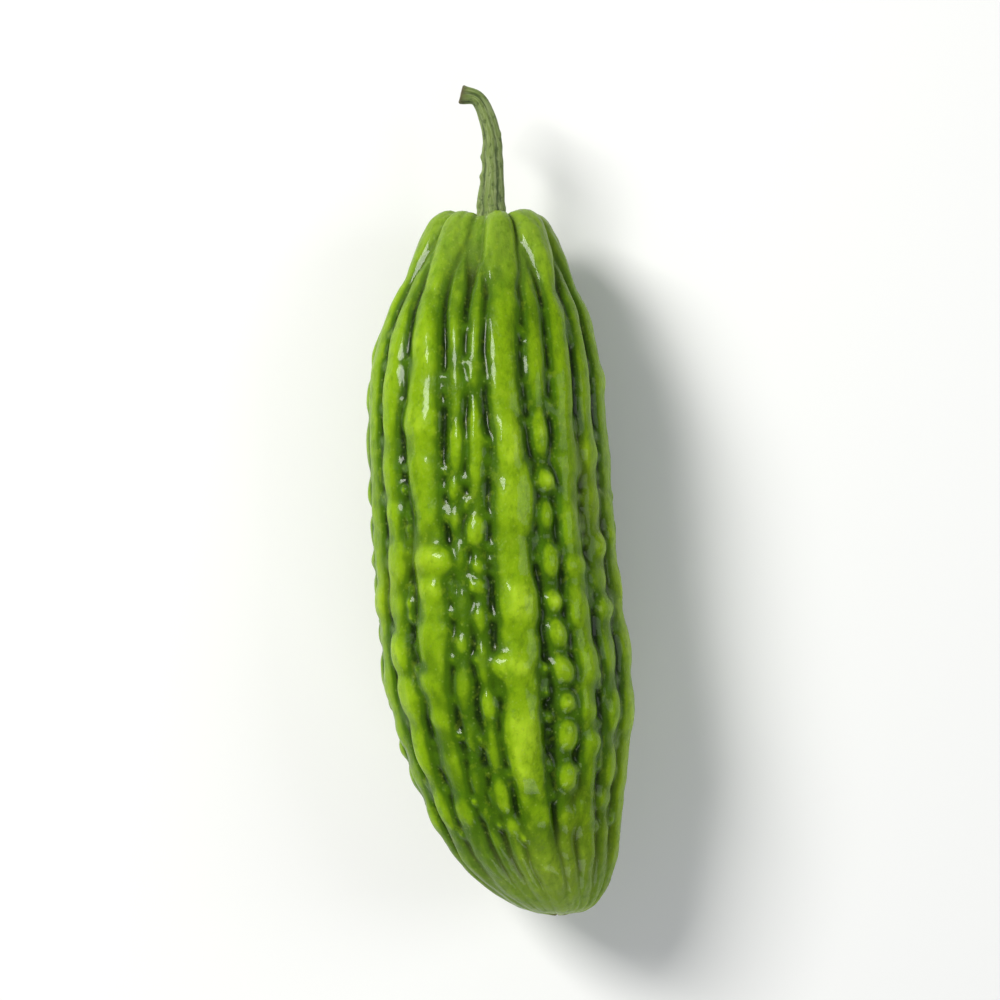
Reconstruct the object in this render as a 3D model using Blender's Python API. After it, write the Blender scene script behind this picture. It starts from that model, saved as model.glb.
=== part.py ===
"""A bitter gourd as picked, lying on a flat surface: the ribbed and beaded fruit, and its cut stem.

The fruit's length runs along Y, with the stem towards +Y. The side that faces +Z is the one with the
long smooth main ridge. Angles round the fruit start at +Z and grow towards +X.
"""

import math
from collections import namedtuple

import bmesh
import bpy
import numpy as np

MM = 0.001

# The fruit, measured on the floor of its valleys, with the ridges standing on it.
BODY_LENGTH = 130 * MM
BODY_RADIUS = 21.0 * MM
RIDGE_HEIGHT = 2.8 * MM
RIDGE_HALF_WIDTH = 3.6 * MM
PEARL_RADIUS = 1.9 * MM
CALM_ROUND = 7.5 * MM   # how far from the stem the ridges take to swell up
WANDER = 0.60 * MM      # how far a ridge strays sideways from its line
OVERLAP = 1.03          # how far neighbouring ridges run into each other
WIDEST = 1.10           # a ridge's most reach to one side, as a share of its own half width

# Where the ridges change along the fruit, as shares of its length from the crown.
LATE_START = (-0.02, 0.10)   # a ridge that starts below the crown grows up around its start
BEADS_BEGIN = (0.14, 0.38)   # beads take over from the smooth crown
BEADS_CEASE = (0.84, 0.98)   # and give way to smooth ridges again
TIP_FADE = (0.90, 1.00)      # the ridges sink towards the blossom tip
TIP_SINK = 0.80              # by this share of their height
PEARLS_FROM, PEARLS_TO = 0.16, 0.88

# One ridge: a smooth core with lumps along it. Shares are of its own height and width.
ROUNDNESS = 2.15             # power of its cross-section, where 2 is an ellipse
CORE = 0.94                  # height of the core
CORE_SINK = 0.60             # how far the core sinks where the ridge is all beads
LUMP_HALF_LENGTH = (1.6 * MM, 4.0 * MM)
SMOOTH_STRETCH = 0.9         # how much longer the lumps of a smooth ridge are
CALM_STRETCH = 1.2           # and those near the crown and the tip
LUMP_WIDTH = (0.80, 1.18)
LUMP_SKEW = (0.90, 1.10)
LUMP_HEIGHT = (0.86, 1.10)
LUMP_SHIFT = 0.26
LUMP_STEP = (0.82, 0.98)     # step from lump to lump, as a share of the last one's length
HIGHEST = 1.12               # no lump rises more over its ridge
RIDGE_INSET = 3 * MM         # lumps keep this far from the ridge's ends

# The pearls in the valleys.
PEARL_HEIGHT = (0.55, 0.88)  # share of RIDGE_HEIGHT
PEARL_SIZE = (0.75, 1.15)
PEARL_LENGTH = (0.95, 1.5)
PEARL_STEP = (1.9, 2.7)
OPEN_VALLEY = 0.5 * MM       # a valley wider than this is full of pearls
OPEN_CHANCE, CREASE_CHANCE = 0.90, 0.42

# The stem, and the socket in the crown of the fruit that holds its foot. STEM_RISE is from the crown
# to the highest part of the stem's middle line.
STEM_FOOT_RADIUS = 3.0 * MM
STEM_RISE = 22.8 * MM
STEM_HOOK = 5.4 * MM
STEM_LEAN = 1.6 * MM
STEM_RIBS = 5
STEM_RIB_DEPTH = 0.05
SOCKET_DEPTH = 1.8 * MM
SEAT_GAP = 0.3 * MM
SOCKET_MOUTH = 6 * MM   # the cutter that makes the socket reaches this far out over the crown

# How the fruit lies: tipped and rolled a little until it rests on the two main ridges of its belly,
# which flatten slightly under its weight.
LIE_TILT = math.radians(-1.0)
LIE_ROLL = math.radians(0.8)
REST_FLAT = 0.45 * MM

# Lengthwise outline: share of the length from crown to blossom tip, share of the body radius.
OUTLINE = (
    (0.020, 0.00), (0.018, 0.09), (0.009, 0.22), (0.004, 0.36), (0.014, 0.44), (0.032, 0.49),
    (0.064, 0.58), (0.111, 0.70), (0.157, 0.82), (0.234, 0.92), (0.345, 0.965), (0.500, 0.98),
    (0.650, 1.00), (0.740, 0.93), (0.815, 0.825), (0.890, 0.70), (0.930, 0.60), (0.968, 0.46),
    (0.991, 0.28), (1.000, 0.00),
)

# Sideways bow of the axis: share of the length, offset towards +X as a share of the length.
BOW = ((0.0, 0.0), (0.25, -0.008), (0.5, 0.006), (0.75, 0.032), (0.9, 0.056), (1.0, 0.094))

# Radius along the stem: share of the way from foot to cut, share of STEM_FOOT_RADIUS.
STEM_TAPER = (
    (0, 1.0), (0.15, 0.95), (0.30, 0.82), (0.45, 0.70), (0.6, 0.63), (0.8, 0.55), (0.93, 0.51), (1, 0.53),
)

# The stem's middle line from foot to cut: share of STEM_HOOK, share of the rise, share of STEM_LEAN.
STEM_PATH = (
    (0.00, 0.00, 0.00), (0.00, 0.16, 0.00), (0.03, 0.38, 0.10), (0.06, 0.55, 0.28), (0.03, 0.70, 0.50),
    (-0.15, 0.85, 0.72), (-0.48, 0.97, 0.90), (-1.00, 1.00, 1.00),
)

# Ridges run lengthwise. `angles` holds the place round the fruit at five even stations from crown to
# tip, `width` and `height` are shares of RIDGE_HALF_WIDTH and RIDGE_HEIGHT, `start` and `end` are shares
# of the length, and `beads` goes from 0, a smooth ridge, to 1, a string of separate beads. `lumps` are
# placed by hand: share of the length, shift to the right, half length and half width in millimetres, and
# share of the ridge's height.
Ridge = namedtuple("Ridge", "angles width height start end beads lumps", defaults=((),))
RIDGES = (
    Ridge((7, 9, 8, 5, 8), 1.12, 1.08, 0.00, 0.975, 0.30, (
        (0.410, 0.7, 9.6, 4.1, 1.00), (0.556, 0.3, 7.6, 4.2, 1.04), (0.640, -0.9, 3.6, 4.9, 1.10),
        (0.735, 0.2, 9.6, 4.0, 1.04),
    )),
    Ridge((24, 26, 26, 25, 27), 0.70, 0.90, 0.03, 0.95, 0.75, (
        (0.315, 0.0, 5.6, 2.2, 0.95), (0.383, 0.3, 2.6, 2.4, 1.10), (0.430, 0.0, 3.6, 2.2, 0.95),
        (0.494, 0.2, 4.0, 2.4, 1.00), (0.550, 0.2, 2.5, 2.3, 1.08), (0.594, 0.1, 3.2, 2.4, 1.00),
        (0.646, 0.2, 3.1, 2.9, 1.08), (0.690, 0.4, 2.3, 2.1, 1.02), (0.735, 0.4, 3.7, 2.7, 1.08),
        (0.792, 0.3, 3.6, 2.4, 1.00),
    )),
    Ridge((45, 41, 40, 40, 44), 0.78, 0.92, 0.00, 0.975, 0.35),
    Ridge((62, 58, 57, 56, 58), 0.80, 0.90, 0.04, 0.960, 0.50),
    Ridge((78, 76, 75, 75, 76), 0.95, 1.00, 0.00, 0.980, 0.25),
    Ridge((95, 94, 93, 94, 95), 0.66, 0.86, 0.05, 0.94, 0.80),
    Ridge((112, 112, 111, 112, 112), 1.00, 1.02, 0.00, 0.980, 0.20),
    Ridge((129, 129, 130, 129, 129), 0.72, 0.88, 0.05, 0.94, 0.75),
    Ridge((146, 147, 148, 147, 146), 0.74, 0.86, 0.06, 0.94, 0.85),
    Ridge((166, 166, 166, 166, 166), 1.05, 1.05, 0.00, 0.980, 0.15),
    Ridge((180, 180, 180, 180, 180), 0.60, 0.58, 0.06, 0.93, 0.80),
    Ridge((194, 194, 194, 194, 194), 1.05, 1.05, 0.00, 0.980, 0.15),
    Ridge((213, 213, 212, 213, 213), 0.74, 0.88, 0.05, 0.94, 0.80),
    Ridge((231, 231, 231, 231, 231), 0.70, 0.86, 0.06, 0.94, 0.70),
    Ridge((248, 249, 248, 249, 248), 1.00, 1.02, 0.00, 0.980, 0.20),
    Ridge((266, 267, 266, 266, 266), 0.72, 0.88, 0.05, 0.94, 0.75),
    Ridge((284, 286, 286, 285, 285), 0.90, 0.98, 0.00, 0.980, 0.35),
    Ridge((300, 305, 303, 304, 303), 0.82, 0.95, 0.03, 0.975, 0.45),
    Ridge((317, 326, 326, 325, 322), 1.10, 1.00, 0.00, 0.975, 0.40),
    Ridge((336, 343, 342, 336, 334), 0.66, 0.84, 0.05, 0.94, 0.55),
    Ridge((350, 353, 351, 348, 350), 0.60, 0.88, 0.06, 0.93, 0.60, (
        (0.338, 0.0, 9.0, 2.1, 0.95), (0.452, 0.0, 3.8, 2.3, 1.05), (0.503, 0.1, 2.0, 1.8, 0.92),
        (0.530, 0.1, 1.9, 1.9, 0.92), (0.575, 0.0, 3.4, 1.9, 0.90), (0.640, 0.0, 5.2, 2.0, 0.94),
    )),
)

# Grain of the mesh that the shape is worked out on, before it is thinned to TRIANGLES.
AROUND = 216
ALONG = 200
TRIANGLES = 11000
STEM_AROUND = 20
STEM_ALONG = 24
BENCH_SIDE = 2 * BODY_LENGTH
TINY = 0.05 * MM
NARROWEST = 0.5 * MM    # girth is never taken as less, so that angles stay finite at the poles
POLE_RINGS = 5          # rings at the crown where the outline turns back on itself
RIDGE_SEED, PEARL_SEED, WANDER_SEED = 11, 111, 511

FRUIT_GREEN = (0.16, 0.33, 0.02, 1.0)
STEM_GREEN = (0.13, 0.19, 0.05, 1.0)


def spline(points, samples):
    """Points on a Catmull-Rom curve through `points`, at `samples` in 0..1 over its whole run."""
    knots = np.array(points, float)
    knots = np.vstack([2 * knots[0] - knots[1], knots, 2 * knots[-1] - knots[-2]])
    place = np.clip(np.asarray(samples, float), 0, 1) * (len(points) - 1)
    first = np.minimum(place.astype(int), len(points) - 2)
    t = (place - first)[:, None]
    a, b, c, d = (knots[first + k] for k in range(4))
    return 0.5 * (2 * b + (c - a) * t + (2 * a - 5 * b + 4 * c - d) * t**2 + (3 * b - a - 3 * c + d) * t**3)


def even_curve(points, count):
    """`count` points evenly spaced along the curve through `points`."""
    dense = spline(points, np.linspace(0, 1, 40 * len(points)))
    run = np.concatenate([[0], np.cumsum(np.linalg.norm(np.diff(dense, axis=0), axis=1))])
    even = np.linspace(0, run[-1], count)
    return np.stack([np.interp(even, run, dense[:, k]) for k in range(dense.shape[1])], axis=1), even


def smooth_step(low, high, value):
    """Goes from 0 at `low` to 1 at `high`, flat at both ends."""
    t = np.clip((value - low) / (high - low), 0, 1)
    return t * t * (3 - 2 * t)


class Skin:
    """The height of the skin over the valley floor, on a grid of stations along and angles round."""

    def __init__(self, along, around):
        outline = [(share * BODY_LENGTH, part * BODY_RADIUS) for share, part in OUTLINE]
        places, self.run = even_curve(outline, along)
        self.depth = places[:, 0]
        self.radius = np.maximum(places[:, 1], 0)
        self.share = self.depth / BODY_LENGTH
        slope = np.gradient(places, self.run, axis=0)
        self.normal = np.stack([-slope[:, 1], slope[:, 0]], axis=1)
        self.normal /= np.linalg.norm(self.normal, axis=1)[:, None]
        self.normal[0], self.normal[-1] = (-1, 0), (1, 0)
        self.angle = np.arange(around) * 2 * math.pi / around
        self.height = np.zeros((along, around))
        self.lay_ridges()

    def lay_ridges(self):
        """Each ridge's middle line, its reach to either side, and its full height."""
        girth = np.maximum(self.radius, NARROWEST)
        lines, weights = [], []
        for number, ridge in enumerate(RIDGES):
            rng = np.random.default_rng(WANDER_SEED + number)
            wander = spline(rng.uniform(-1, 1, (10, 1)), self.share)[:, 0] * WANDER
            angle = spline([[a] for a in ridge.angles], self.share)[:, 0]
            lines.append(np.radians(angle) + wander / np.maximum(girth, 8 * MM))
            grown = np.ones(len(girth))
            if ridge.start > 0:
                low, high = (ridge.start + part for part in LATE_START)
                grown = np.maximum(smooth_step(low, high, self.share), 0.001)
            weights.append(ridge.width * grown)
        self.line = np.array(lines)
        weight = np.array(weights)
        gap = (np.roll(self.line, -1, 0) - self.line) % (2 * math.pi) * girth
        after = np.roll(weight, -1, 0)
        full = RIDGE_HALF_WIDTH * np.array([ridge.width for ridge in RIDGES])[:, None]
        tall = RIDGE_HEIGHT * np.array([ridge.height for ridge in RIDGES])[:, None]
        widest = WIDEST * RIDGE_HALF_WIDTH * weight
        self.right = np.minimum(gap * weight / (weight + after), widest)
        self.left = np.minimum(np.roll(gap * after / (weight + after), 1, 0), widest)
        self.free = gap - self.right - np.roll(self.left, -1, 0)
        fade = 1 - TIP_SINK * smooth_step(*TIP_FADE, self.share)
        self.top = tall * np.clip(0.5 * (self.left + self.right) / full, 0, 1) * fade

    def run_at(self, share):
        """Metres along the outline at a share of the length."""
        return np.interp(share * BODY_LENGTH, self.depth[POLE_RINGS:], self.run[POLE_RINGS:])

    def beside(self, line, rows):
        """Metres to the right of a line, for every point of some rings."""
        girth = np.maximum(self.radius[rows], NARROWEST)[:, None]
        turn = self.angle[None, :] - line[rows][:, None]
        return ((turn + math.pi) % (2 * math.pi) - math.pi) * girth

    def raise_dome(self, place, line, side, half_length, left, right, tall, limit=None, power=ROUNDNESS):
        """Raises an oval dome `side` metres beside a line, centred `place` metres along the outline.

        `limit` holds the highest that the skin may rise on each ring.
        """
        rows = np.flatnonzero(abs(self.run - place) < half_length)
        if len(rows) == 0:
            return
        across = self.beside(line, rows) - side
        wide = np.where(across > 0, right[rows][:, None], left[rows][:, None])
        length = (self.run[rows] - place)[:, None] / half_length
        fall = 1 - abs(across / wide) ** power - abs(length) ** power
        dome = tall * np.sqrt(np.clip(fall, 0, None))
        if limit is not None:
            dome = np.minimum(dome, limit[rows][:, None])
        self.height[rows] = np.maximum(self.height[rows], dome)

    def raise_ridge(self, number, rng):
        """Raises one ridge: a core that sinks where beads take over, then its lumps."""
        ridge, line = RIDGES[number], self.line[number]
        left, right, top = self.left[number], self.right[number], self.top[number]
        across = self.beside(line, np.arange(len(self.run)))
        wide = np.maximum(np.where(across > 0, right[:, None], left[:, None]) * OVERLAP, TINY)
        lively = smooth_step(*BEADS_BEGIN, self.share) * (1 - smooth_step(*BEADS_CEASE, self.share))
        core = top * (CORE - CORE_SINK * (ridge.beads * lively) ** 1.5)
        profile = np.sqrt(np.clip(1 - abs(across / wide) ** ROUNDNESS, 0, None))
        self.height = np.maximum(self.height, core[:, None] * profile)
        first, last = self.run_at(ridge.start), self.run_at(ridge.end)
        own = [self.run_at(lump[0]) for lump in ridge.lumps] or [last, last]
        place = first + RIDGE_INSET
        while place < last - RIDGE_INSET:
            smooth = 1 - np.interp(place, self.run, lively)
            stretch = 1 + SMOOTH_STRETCH * (1 - ridge.beads) + CALM_STRETCH * smooth
            middle = rng.uniform(*LUMP_HALF_LENGTH) * stretch
            centre = place + middle
            here = np.interp(centre, self.run, 0.5 * (left + right))
            tall = np.interp(centre, self.run, top)
            factor = OVERLAP * rng.uniform(*LUMP_WIDTH)
            lump = dict(
                side=rng.uniform(-LUMP_SHIFT, LUMP_SHIFT) * here * (1 - smooth),
                half_length=(1.10 + 0.16 * smooth) * middle,
                left=left * factor * rng.uniform(*LUMP_SKEW) + TINY,
                right=right * factor * rng.uniform(*LUMP_SKEW) + TINY,
                tall=tall * rng.uniform(*LUMP_HEIGHT),
                limit=HIGHEST * top,
            )
            if not own[0] - RIDGE_INSET < centre < own[-1] + RIDGE_INSET:
                self.raise_dome(centre, line, **lump)
            place += 2 * middle * rng.uniform(*LUMP_STEP)
        for share, side, half_length, half_width, tall in ridge.lumps:
            half = np.full(len(self.run), half_width * MM)
            place = self.run_at(share)
            self.raise_dome(place, line, side * MM, half_length * MM, half, half, tall * top.max())

    def raise_pearls(self, number, rng):
        """Raises the small round beads that fill a valley wherever it is wide enough, and dot the creases."""
        aside = self.right[number] + self.free[number] / 2
        line = self.line[number] + aside / np.maximum(self.radius, 1 * MM)
        place = self.run_at(PEARLS_FROM) + rng.uniform(0, 3) * MM
        last = self.run_at(PEARLS_TO)
        while place < last:
            room = np.interp(place, self.run, self.free[number])
            size = np.clip(0.60 * MM + 0.55 * room, 0.45 * PEARL_RADIUS, PEARL_RADIUS)
            size *= rng.uniform(*PEARL_SIZE)
            chance = OPEN_CHANCE if room > OPEN_VALLEY else CREASE_CHANCE
            if rng.uniform() < chance:
                side = rng.uniform(-0.25, 0.25) * max(room, 0.8 * MM)
                tall = RIDGE_HEIGHT * rng.uniform(*PEARL_HEIGHT)
                half = np.full(len(self.run), size)
                half_length = size * rng.uniform(*PEARL_LENGTH)
                self.raise_dome(place, line, side, half_length, half, half, tall, power=2.0)
            place += size * rng.uniform(*PEARL_STEP)

    def soften(self, times):
        """Rounds the foot of every dome, so that valleys are creases and not steps."""
        for _ in range(times):
            sideways = 0.25 * (np.roll(self.height, 1, 1) + np.roll(self.height, -1, 1)) + 0.5 * self.height
            padded = np.vstack([sideways[:1], sideways, sideways[-1:]])
            self.height = 0.25 * (padded[:-2] + padded[2:]) + 0.5 * sideways

    def points(self):
        """The skin's points, as rows of rings from the crown to the tip."""
        radius = self.radius[:, None] + self.height * self.normal[:, 1:2]
        depth = self.depth[:, None] + self.height * self.normal[:, 0:1]
        bow = spline(BOW, np.linspace(0, 1, 200))
        side = np.interp(depth / BODY_LENGTH, bow[:, 0], bow[:, 1]) * BODY_LENGTH
        x = side + radius * np.sin(self.angle)[None, :]
        z = radius * np.cos(self.angle)[None, :]
        return np.stack([x, -depth, z], axis=2)


def grow_skin(along, around):
    """The whole skin: ridges, their lumps, the pearls between them, and a calm ring round the stem."""
    skin = Skin(along, around)
    for number in range(len(RIDGES)):
        skin.raise_ridge(number, np.random.default_rng(RIDGE_SEED + number))
    for number in range(len(RIDGES)):
        skin.raise_pearls(number, np.random.default_rng(PEARL_SEED + number))
    inner = STEM_FOOT_RADIUS + SEAT_GAP
    calm = smooth_step(inner, inner + CALM_ROUND, skin.radius)
    calm[skin.share > 0.5] = 1
    skin.height *= calm[:, None]
    skin.soften(1)
    return skin


def mesh_object(name, points, faces, colour, roughness):
    mesh = bpy.data.meshes.new(name)
    mesh.from_pydata([tuple(p) for p in points], [], faces)
    shape = bmesh.new()
    shape.from_mesh(mesh)
    bmesh.ops.recalc_face_normals(shape, faces=shape.faces)
    shape.to_mesh(mesh)
    shape.free()
    made = bpy.data.objects.new(name, mesh)
    bpy.context.scene.collection.objects.link(made)
    material = bpy.data.materials.new(name)
    material.use_nodes = True
    shader = material.node_tree.nodes["Principled BSDF"]
    shader.inputs["Base Color"].default_value = colour
    shader.inputs["Roughness"].default_value = roughness
    shader.inputs["Metallic"].default_value = 0.0
    mesh.materials.append(material)
    mesh.shade_smooth()
    return made


def ring_faces(rings, around, first=0):
    """Quads between `rings` rings of `around` points, numbered from `first`."""
    faces = []
    for ring in range(rings - 1):
        for k in range(around):
            a = first + ring * around + k
            b = first + ring * around + (k + 1) % around
            faces.append((a, a + around, b + around, b))
    return faces


def make_fruit():
    """The fruit, with its crown pole at the origin's side and its blossom tip towards -Y."""
    rings = grow_skin(ALONG, AROUND).points()
    inner = rings[1:-1].reshape(-1, 3)
    crown, tip = rings[0].mean(axis=0), rings[-1].mean(axis=0)
    points = np.vstack([inner, crown, tip])
    count = len(rings) - 2
    faces = ring_faces(count, AROUND)
    top, end = len(inner), len(inner) + 1
    last = (count - 1) * AROUND
    for k in range(AROUND):
        after = (k + 1) % AROUND
        faces.append((top, k, after))
        faces.append((end, last + after, last + k))
    fruit = mesh_object("fruit", points, faces, FRUIT_GREEN, 0.35)
    thin = fruit.modifiers.new("thin", "DECIMATE")
    thin.ratio = TRIANGLES / (2 * AROUND * count)
    return fruit


def cylinder(name, radius, low, high, sides=32):
    """A closed cylinder along Y from `low` to `high`."""
    angles = [2 * math.pi * k / sides for k in range(sides)]
    points = [(radius * math.sin(a), y, radius * math.cos(a)) for y in (low, high) for a in angles]
    faces = [(k, (k + 1) % sides, sides + (k + 1) % sides, sides + k) for k in range(sides)]
    faces += [tuple(range(sides))[::-1], tuple(range(sides, 2 * sides))]
    return mesh_object(name, points, faces, STEM_GREEN, 0.6)


def cut(solid, cutter, name):
    """Cuts `cutter` out of `solid` and hides it."""
    carve = solid.modifiers.new(name, "BOOLEAN")
    carve.operation = "DIFFERENCE"
    carve.solver = "EXACT"
    carve.object = cutter
    cutter.hide_render = True
    cutter.display_type = "WIRE"


def crown_floor():
    """Y of the valley floor at the middle of the crown."""
    return -OUTLINE[0][0] * BODY_LENGTH


def stem_line(count):
    """Points along the stem's middle, from the foot in its socket to the cut end."""
    foot = crown_floor() - SOCKET_DEPTH + SEAT_GAP
    rise = STEM_RISE - foot
    knots = [(side * STEM_HOOK, foot + up * rise, lean * STEM_LEAN) for side, up, lean in STEM_PATH]
    return even_curve(knots, count)


def stem_radius(share):
    """Radius at a share of the way along the stem."""
    taper = spline(STEM_TAPER, np.linspace(0, 1, 100))
    return STEM_FOOT_RADIUS * np.interp(share, taper[:, 0], taper[:, 1])


def make_stem():
    """The stem: blunt ribs swept along a line that hooks over at the cut."""
    middle, run = stem_line(STEM_ALONG)
    share = run / run[-1]
    forward = np.gradient(middle, axis=0)
    forward /= np.linalg.norm(forward, axis=1)[:, None]
    across = np.cross(forward, (0.0, 0.0, 1.0))
    across /= np.linalg.norm(across, axis=1)[:, None]
    over = np.cross(across, forward)
    angles = np.arange(STEM_AROUND) * 2 * math.pi / STEM_AROUND
    ribs = 1 - STEM_RIB_DEPTH * (1 - np.cos(STEM_RIBS * angles))
    points = []
    for k in range(STEM_ALONG):
        radius = stem_radius(share[k]) * ribs
        ring = np.sin(angles)[:, None] * across[k] + np.cos(angles)[:, None] * over[k]
        points += list(middle[k] + radius[:, None] * ring)
    faces = ring_faces(STEM_ALONG, STEM_AROUND)
    faces.append(tuple(range(STEM_AROUND)))
    faces.append(tuple(range((STEM_ALONG - 1) * STEM_AROUND, STEM_ALONG * STEM_AROUND)))
    return mesh_object("stem", points, faces, STEM_GREEN, 0.6)


def make_bench():
    """A block whose top is the surface that the fruit lies on."""
    side = BENCH_SIDE
    corners = ((-side, -side), (side, -side), (side, side), (-side, side))
    points = [(x, y, z) for z in (-side, 0) for x, y in corners]
    faces = [(3, 2, 1, 0), (4, 5, 6, 7), (0, 1, 5, 4), (1, 2, 6, 5), (2, 3, 7, 6), (3, 0, 4, 7)]
    return mesh_object("bench", points, faces, STEM_GREEN, 0.6)


def evaluated_box(objects):
    """Lowest and highest corner of the objects as they show."""
    bpy.context.view_layer.update()
    graph = bpy.context.evaluated_depsgraph_get()
    corners = []
    for made in objects:
        shown = made.evaluated_get(graph)
        mesh = shown.to_mesh()
        corners += [shown.matrix_world @ v.co for v in mesh.vertices]
        shown.to_mesh_clear()
    corners = np.array(corners)
    return corners.min(axis=0), corners.max(axis=0)


def main():
    for old in list(bpy.data.objects):
        bpy.data.objects.remove(old, do_unlink=True)
    lie = bpy.data.objects.new("lie", None)
    bpy.context.scene.collection.objects.link(lie)
    lie.rotation_euler = (LIE_TILT, LIE_ROLL, 0)
    fruit = make_fruit()
    stem = make_stem()
    floor = crown_floor()
    bottom, mouth = floor - SOCKET_DEPTH, floor + SOCKET_MOUTH
    socket = cylinder("socket", STEM_FOOT_RADIUS + SEAT_GAP, bottom, mouth)
    for piece in (fruit, stem, socket):
        piece.parent = lie
    low, high = evaluated_box((fruit, stem))
    lie.location = (-(low[0] + high[0]) / 2, -(low[1] + high[1]) / 2, -low[2] - REST_FLAT)
    cut(fruit, socket, "seat the stem")
    bench = make_bench()
    cut(fruit, bench, "press the belly flat")


main()
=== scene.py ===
import math

import bmesh
import bpy
import numpy as np
from mathutils import Euler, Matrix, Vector


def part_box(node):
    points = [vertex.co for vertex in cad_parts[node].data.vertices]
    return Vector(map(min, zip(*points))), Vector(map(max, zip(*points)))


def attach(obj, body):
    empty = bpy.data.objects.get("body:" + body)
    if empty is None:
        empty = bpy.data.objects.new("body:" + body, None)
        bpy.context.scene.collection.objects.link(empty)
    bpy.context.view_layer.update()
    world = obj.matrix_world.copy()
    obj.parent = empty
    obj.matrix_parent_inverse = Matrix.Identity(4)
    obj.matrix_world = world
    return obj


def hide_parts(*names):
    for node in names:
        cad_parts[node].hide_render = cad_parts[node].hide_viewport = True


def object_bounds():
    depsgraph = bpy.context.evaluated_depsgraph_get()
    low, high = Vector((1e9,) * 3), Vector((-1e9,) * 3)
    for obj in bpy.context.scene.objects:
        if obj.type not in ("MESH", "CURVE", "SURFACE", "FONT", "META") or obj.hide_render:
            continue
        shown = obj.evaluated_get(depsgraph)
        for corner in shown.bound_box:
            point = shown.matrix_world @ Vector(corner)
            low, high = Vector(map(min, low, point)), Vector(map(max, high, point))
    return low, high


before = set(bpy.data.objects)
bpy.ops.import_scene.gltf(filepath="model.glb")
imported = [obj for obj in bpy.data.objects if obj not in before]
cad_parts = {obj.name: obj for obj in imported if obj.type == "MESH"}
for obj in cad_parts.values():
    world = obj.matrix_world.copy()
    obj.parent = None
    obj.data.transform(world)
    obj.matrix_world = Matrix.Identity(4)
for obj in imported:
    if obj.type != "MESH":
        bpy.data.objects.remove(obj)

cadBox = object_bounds()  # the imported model's box, before any look is added
fruitLow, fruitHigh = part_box("fruit")
stemLow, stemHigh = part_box("stem")
mm = 0.001
knotSteps = 40  # points to a knot when the length of a curve is measured

# the gourd lies along Y with its stem towards +Y; angles go round it from straight up towards +X
fruitShape = {
    "length": 0.9925 * (fruitHigh.y - fruitLow.y),  # along the valley floor, crown to blossom tip
    "radius": 0.4217 * (fruitHigh.x - fruitLow.x),  # of the valley floor at its fattest
    "ridgeTall": 2.8 * mm,
    "ridgeHalfWide": 3.6 * mm,
    "pearlRadius": 1.9 * mm,
    "restTilt": math.radians(-1.0),  # tips the crown down until the belly bears
    "restRoll": math.radians(0.8),
    "pressedFlat": 0.45 * mm,
    "calmRound": 7.5 * mm,  # how far from the stem the ridges take to swell up
    "wander": 0.60 * mm,  # how far a ridge strays sideways from its line
    "wanderKnots": 10,  # bends along a ridge
    "wanderGirth": 8 * mm,  # nearer the poles than this a ridge strays less
    "overlap": 1.03,  # how far neighbouring ridges run into each other
    "widest": 1.10,  # a ridge's most reach to one side, as a share of its own half width
    "roundness": 2.15,  # power of a ridge's cross-section, where 2 is an ellipse
    # shares of the length from the crown
    "lateStart": (-0.02, 0.10),  # a late ridge widens between these, counted from its start
    "leastGrown": 0.001,  # share of its width that it has before
    "beadsBegin": (0.14, 0.38),
    "beadsCease": (0.84, 0.98),
    "tipFade": (0.90, 1.00),
    "tipSink": 0.80,  # share of a ridge's height lost at the very tip
    # how far the finished skin is smoothed round and along
    "soften": (2, 2),
    # uneven skin: height, then how far it is smoothed round and along
    "dimples": [(0.045 * mm, 5, 4), (0.10 * mm, 60, 45)],
    "dimpleCalm": (0, 0.4),  # they set in as the ridges swell up
    "rings": 262,
    "around": 356,
    "narrowest": 0.5 * mm,  # radius is never taken as less, so that angles stay finite at the poles
    "leastReach": 0.05 * mm,
    "poleRings": 5,  # rings at the crown where the outline turns back on itself
    "poleRelief": 0.5,
    "bowSteps": 200,
    "seatGap": 0.3 * mm,  # between the stem's foot and the socket in the crown
    "ridgeSeed": 11,
    "pearlSeed": 111,
    "wanderSeed": 511,
    "dimpleSeed": 911,
    # where the relief for the colours is measured: a mask that paints shade into the creases and light
    # onto the crests
    "nearby": (18, 3),  # how far round and along it is smoothed
    "reliefTall": 0.95 * mm,
    "reliefShare": 0.45,  # of the local relief, against the height itself
    "paleCrown": (0.02, 0.14),
    "paleTip": (0.90, 1.00),
    "paleLevel": 0.75,  # what the height counts as at both ends
}

lumpShape = {
    "core": 0.94,  # height of the smooth core that lumps stand on
    "coreSink": 0.60,  # how far it sinks where the ridge is all beads
    "sinkPower": 1.5,
    "halfLong": (1.6 * mm, 4.0 * mm),
    "smoothStretch": 0.9,
    "calmStretch": 1.2,
    "reach": 1.10,  # a lump's half length over its share of the ridge, so that lumps run together
    "calmReach": 0.16,  # more of it where the ridge is smooth
    "width": (0.80, 1.18),
    "skew": (0.90, 1.10),
    "height": (0.86, 1.10),
    "shift": 0.26,
    "step": (0.82, 0.98),
    "highest": 1.12,  # no lump rises more over its ridge
    "inset": 3 * mm,  # from the ridge's ends
}

pearlShape = {
    "from": 0.16,
    "to": 0.88,
    "height": (0.55, 0.88),  # share of a ridge's height
    "size": (0.75, 1.15),
    "length": (0.95, 1.5),
    "step": (1.9, 2.7),
    "firstStep": 3,  # the first pearl comes within so many mm
    "creaseSize": 0.60 * mm,
    "sizeByRoom": 0.55,
    "smallest": 0.45,  # share of the biggest pearl
    "sideways": 0.25,  # share of the valley's width that a pearl may stray
    "leastRoom": 0.8 * mm,
    "leastRadius": 1 * mm,
    "roundness": 2.0,
    "openValley": 0.5 * mm,  # a valley wider than this is full of pearls
    "openChance": 0.90,
    "creaseChance": 0.42,
}

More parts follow.
